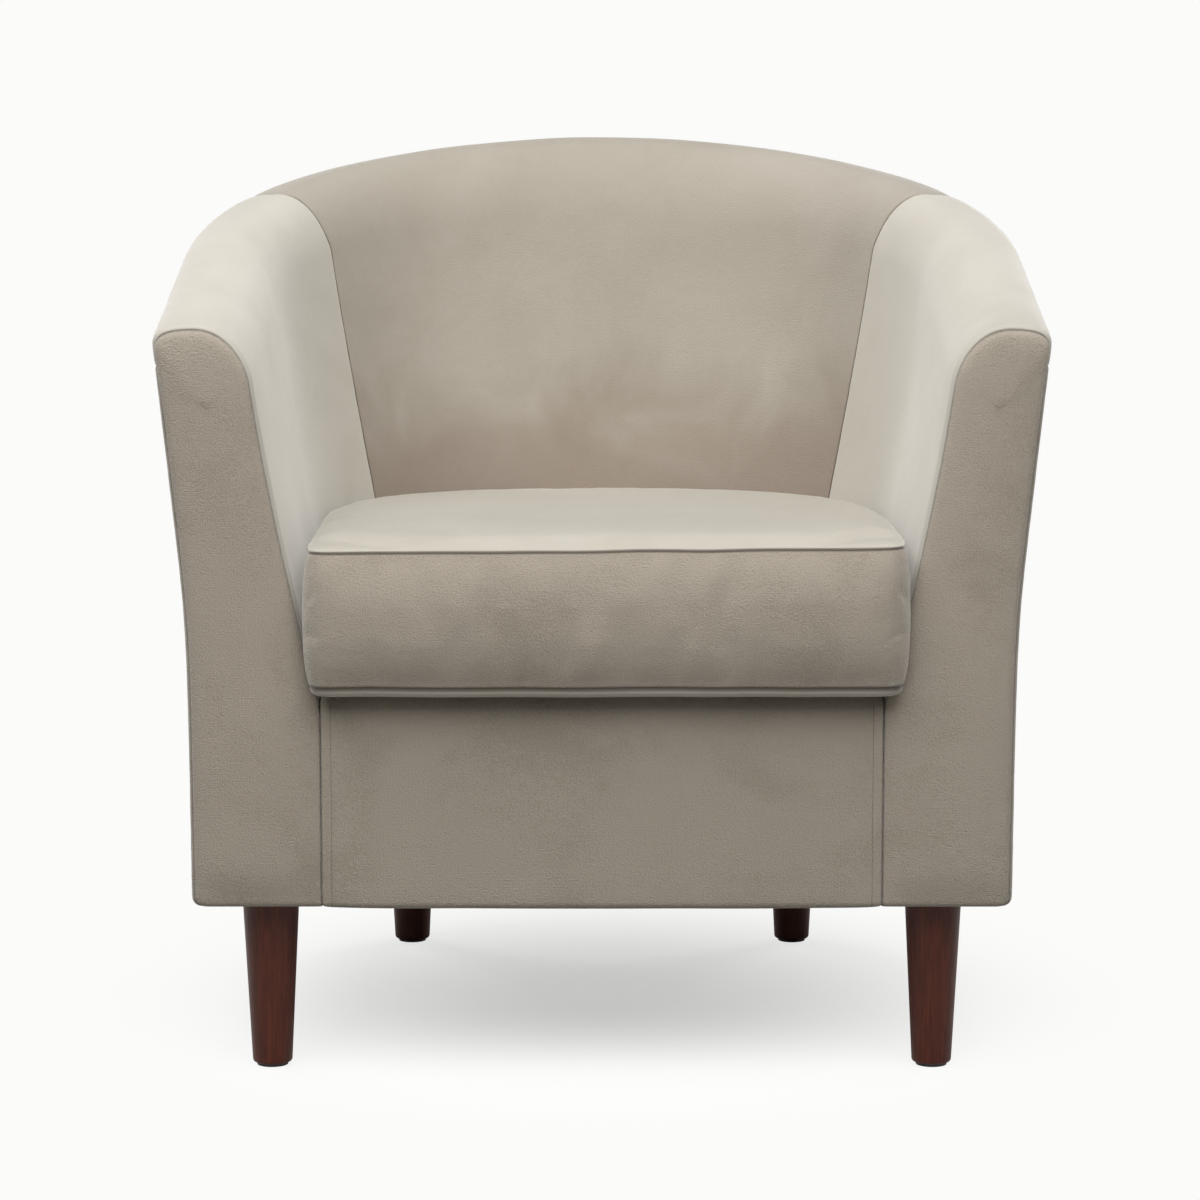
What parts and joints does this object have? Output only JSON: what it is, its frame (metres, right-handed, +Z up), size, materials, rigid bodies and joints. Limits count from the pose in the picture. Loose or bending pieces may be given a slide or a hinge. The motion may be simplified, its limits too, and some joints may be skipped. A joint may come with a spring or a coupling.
{
  "type": "lounge chair",
  "caption": "Barrel-backed upholstered lounge chair with a rising rolled rim, rounded arms, a loose box seat cushion and tapered round wooden legs.",
  "frame": {"origin": "centre of the bounding box's footprint, on the floor under the chair", "axes": "+Z up, +Y towards the outside back, so a sitter faces -Y, +X to the right of someone who faces the chair"},
  "size_m": [0.732, 0.69, 0.772],
  "materials": {
    "velvet": "brushed velvet with a short mottled nap",
    "foam": "open-cell foam",
    "seat_foam": "foam in a fibre wrap",
    "black_lining": "spun-bonded lining",
    "webbing": "woven elastic webbing",
    "plywood": "sawn birch plywood",
    "hardwood": "planed hardwood",
    "leg_wood": "espresso stain under satin lacquer",
    "steel": "zinc plated",
    "glide_nylon": "moulded nylon",
    "zip_tape": "woven polyester tape with a nylon coil",
    "zip_metal": "die-cast"
  },
  "bodies": {
    "chair": {"inside_back_cover": "velvet", "inside_arm_cover_left": "velvet", "inside_arm_cover_right": "velvet", "arm_front_panel_left": "velvet", "arm_front_panel_right": "velvet", "front_rail_cover": "velvet", "outside_arm_cover_left": "velvet", "outside_arm_cover_right": "velvet", "outside_back_cover": "velvet", "deck_cover": "black_lining", "dust_cover": "black_lining", "back_foam": "foam", "arm_foam_left": "foam", "arm_foam_right": "foam", "arm_front_pad_left": "foam", "arm_front_pad_right": "foam", "front_rail_pad": "foam", "deck_pad": "foam", "outside_board_left": "plywood", "outside_board_right": "plywood", "outside_board_back": "plywood", "back_webbing": "webbing", "arm_webbing_left": "webbing", "arm_webbing_right": "webbing", "back_rim_rail": "plywood", "arm_rim_rail_left": "plywood", "arm_rim_rail_right": "plywood", "arm_post_left": "plywood", "arm_post_right": "plywood", "back_ribs": "plywood", "side_rib_left": "plywood", "side_rib_right": "plywood", "front_rail": "plywood", "seat_rail_left": "hardwood", "seat_rail_right": "hardwood", "seat_rail_back": "hardwood", "base_rail_left": "plywood", "base_rail_right": "plywood", "base_rail_back": "plywood", "corner_blocks": "hardwood", "leg_blocks": "hardwood", "rail_dowels": "hardwood", "seat_springs": "steel", "spring_clips": "steel", "tie_wires": "steel", "leg_front_left": "leg_wood", "leg_front_right": "leg_wood", "leg_rear_left": "leg_wood", "leg_rear_right": "leg_wood", "leg_bolts": "steel", "leg_nuts": "steel", "leg_glides": "glide_nylon"},
    "cushion": {"cushion_top_panel": "velvet", "cushion_bottom_panel": "velvet", "cushion_boxing": "velvet", "cushion_zip_boxing": "velvet", "cushion_foam": "seat_foam", "zip_tape": "zip_tape"},
    "zip_slider": {"zip_slider": "zip_metal"}
  },
  "joints": [
    {"name": "cushion_lift", "type": "slide", "parent": "chair", "child": "cushion", "axis": [0, 0, 1], "range_m": [0, 0.5]},
    {"name": "zip_travel", "type": "hinge", "parent": "cushion", "child": "zip_slider", "pos_m": [0, -0.127, 0.3863], "axis": [0, 0, 1], "range_deg": [0, 43.5]}
  ]
}
